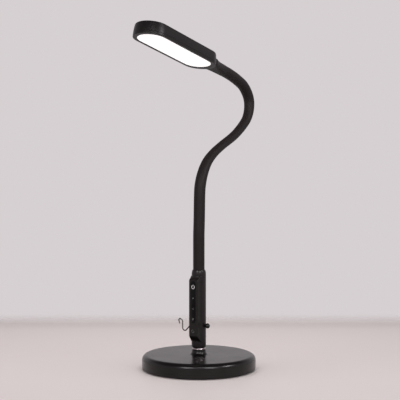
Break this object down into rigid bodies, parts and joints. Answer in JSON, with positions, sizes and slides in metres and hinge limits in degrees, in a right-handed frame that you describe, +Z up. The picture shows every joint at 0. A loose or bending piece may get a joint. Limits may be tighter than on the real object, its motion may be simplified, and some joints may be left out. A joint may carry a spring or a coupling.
{
  "type": "gooseneck lamp",
  "caption": "Black LED lamp with a heavy round base, a grip with a touch panel, a wire hook and a ball knob, a bendable smooth neck and a flat glowing head with round ends.",
  "frame": {"origin": "middle of the pad under the base, at table level", "axes": "+Z up along the grip, -Y towards the touch panel and the head, +X towards the ball knob"},
  "size_m": [0.23, 0.3877, 0.674],
  "materials": {
    "rubber_pad": "soft black rubber",
    "steel": "zinc-plated steel",
    "iron": "raw casting",
    "black_metal": "satin black paint",
    "chrome": "polished",
    "black_plastic": "fine matte texture",
    "gloss_black": "polished black",
    "dark_key": "satin",
    "cream_plastic": "plain",
    "board": "green solder mask",
    "brass": "turned",
    "aluminium": "plain",
    "sleeve": "smooth black silicone",
    "opal": "opal, glowing",
    "clear_acrylic": "clear acrylic",
    "white_film": "white film",
    "led": "phosphor"
  },
  "bodies": {
    "stand": {"foot_pad": "rubber_pad", "base_plate": "steel", "base_weight": "iron", "base_cover": "black_metal", "base_screws": "steel", "base_stud": "steel", "stud_washer": "steel", "stud_nut": "steel", "collar": "chrome", "handle_shell": "black_plastic", "panel_cover": "black_plastic", "touch_strip": "gloss_black", "tact_switch": "dark_key", "control_board": "board", "touch_springs": "steel", "pole_insert": "brass", "power_inlet": "black_plastic", "neck_ferrule": "aluminium", "grub_screw": "steel", "neck_sleeve_1": "sleeve", "neck_core_1": "aluminium"},
    "button": {"power_button": "dark_key", "switch_plunger": "cream_plastic"},
    "hook": {"hook": "chrome"},
    "knob": {"hook_knob": "gloss_black"},
    "neck_2": {"neck_sleeve_2": "sleeve", "neck_core_2": "aluminium"},
    "neck_3": {"neck_sleeve_3": "sleeve", "neck_core_3": "aluminium"},
    "neck_4": {"neck_sleeve_4": "sleeve", "neck_core_4": "aluminium"},
    "neck_5": {"neck_sleeve_5": "sleeve", "neck_core_5": "aluminium"},
    "neck_6": {"neck_sleeve_6": "sleeve", "neck_core_6": "aluminium"},
    "neck_7": {"neck_sleeve_7": "sleeve", "neck_core_7": "aluminium"},
    "neck_8": {"neck_sleeve_8": "sleeve", "neck_core_8": "aluminium"},
    "neck_9": {"neck_sleeve_9": "sleeve", "neck_core_9": "aluminium"},
    "neck_10": {"neck_sleeve_10": "sleeve", "neck_core_10": "aluminium"},
    "neck_11": {"neck_sleeve_11": "sleeve", "neck_core_11": "aluminium"},
    "head": {"neck_sleeve_12": "sleeve", "neck_core_12": "aluminium", "head_tail": "black_plastic", "tail_nut": "steel", "head_housing": "black_plastic", "head_bezel": "black_plastic", "diffuser": "opal", "light_guide": "clear_acrylic", "reflector": "white_film", "led_strips": "white_film", "leds": "led", "heat_plate": "aluminium", "head_screws": "steel"}
  },
  "joints": [
    {"name": "neck_bend_1", "type": "hinge", "parent": "stand", "child": "neck_2", "pos_m": [0, 0, 0.25333], "axis": [1, 0, 0], "range_deg": [-15, 12]},
    {"name": "neck_sway_2", "type": "hinge", "parent": "neck_2", "child": "neck_3", "pos_m": [0, 0, 0.30667], "axis": [0, 1, 0], "range_deg": [-20, 20]},
    {"name": "neck_bend_3", "type": "hinge", "parent": "neck_3", "child": "neck_4", "pos_m": [0, 0.00302, 0.35989], "axis": [1, 0, 0], "range_deg": [-15, 15]},
    {"name": "neck_bend_4", "type": "hinge", "parent": "neck_4", "child": "neck_5", "pos_m": [0, 0.0128, 0.39437], "axis": [1, 0, 0], "range_deg": [-12, 15]},
    {"name": "neck_bend_5", "type": "hinge", "parent": "neck_5", "child": "neck_6", "pos_m": [0, 0.0331, 0.4239], "axis": [1, 0, 0], "range_deg": [-12, 15]},
    {"name": "neck_sway_6", "type": "hinge", "parent": "neck_6", "child": "neck_7", "pos_m": [0, 0.06179, 0.44539], "axis": [0, 0.4617, -0.887], "range_deg": [-20, 20]},
    {"name": "neck_bend_7", "type": "hinge", "parent": "neck_7", "child": "neck_8", "pos_m": [0, 0.11989, 0.47564], "axis": [1, 0, 0], "range_deg": [-15, 15]},
    {"name": "neck_bend_8", "type": "hinge", "parent": "neck_8", "child": "neck_9", "pos_m": [0, 0.17356, 0.51287], "axis": [1, 0, 0], "range_deg": [-30, 6]},
    {"name": "neck_bend_9", "type": "hinge", "parent": "neck_9", "child": "neck_10", "pos_m": [0, 0.18921, 0.5419], "axis": [1, 0, 0], "range_deg": [-30, 5]},
    {"name": "neck_bend_10", "type": "hinge", "parent": "neck_10", "child": "neck_11", "pos_m": [0, 0.18292, 0.57428], "axis": [1, 0, 0], "range_deg": [-30, 5]},
    {"name": "neck_sway_11", "type": "hinge", "parent": "neck_11", "child": "head", "pos_m": [0, 0.15753, 0.59533], "axis": [0, 0.342, 0.9397], "range_deg": [-25, 25]},
    {"name": "hook_turn", "type": "hinge", "parent": "stand", "child": "hook", "pos_m": [0, 0, 0.0875], "axis": [1, 0, 0], "continuous": true},
    {"name": "knob_turn", "type": "hinge", "parent": "hook", "child": "knob", "pos_m": [0, 0, 0.0875], "axis": [1, 0, 0], "continuous": true},
    {"name": "power_press", "type": "slide", "parent": "stand", "child": "button", "axis": [0, 1, 0], "range_m": [0, 0.0006], "stiffness_N_per_m": 2600}
  ]
}
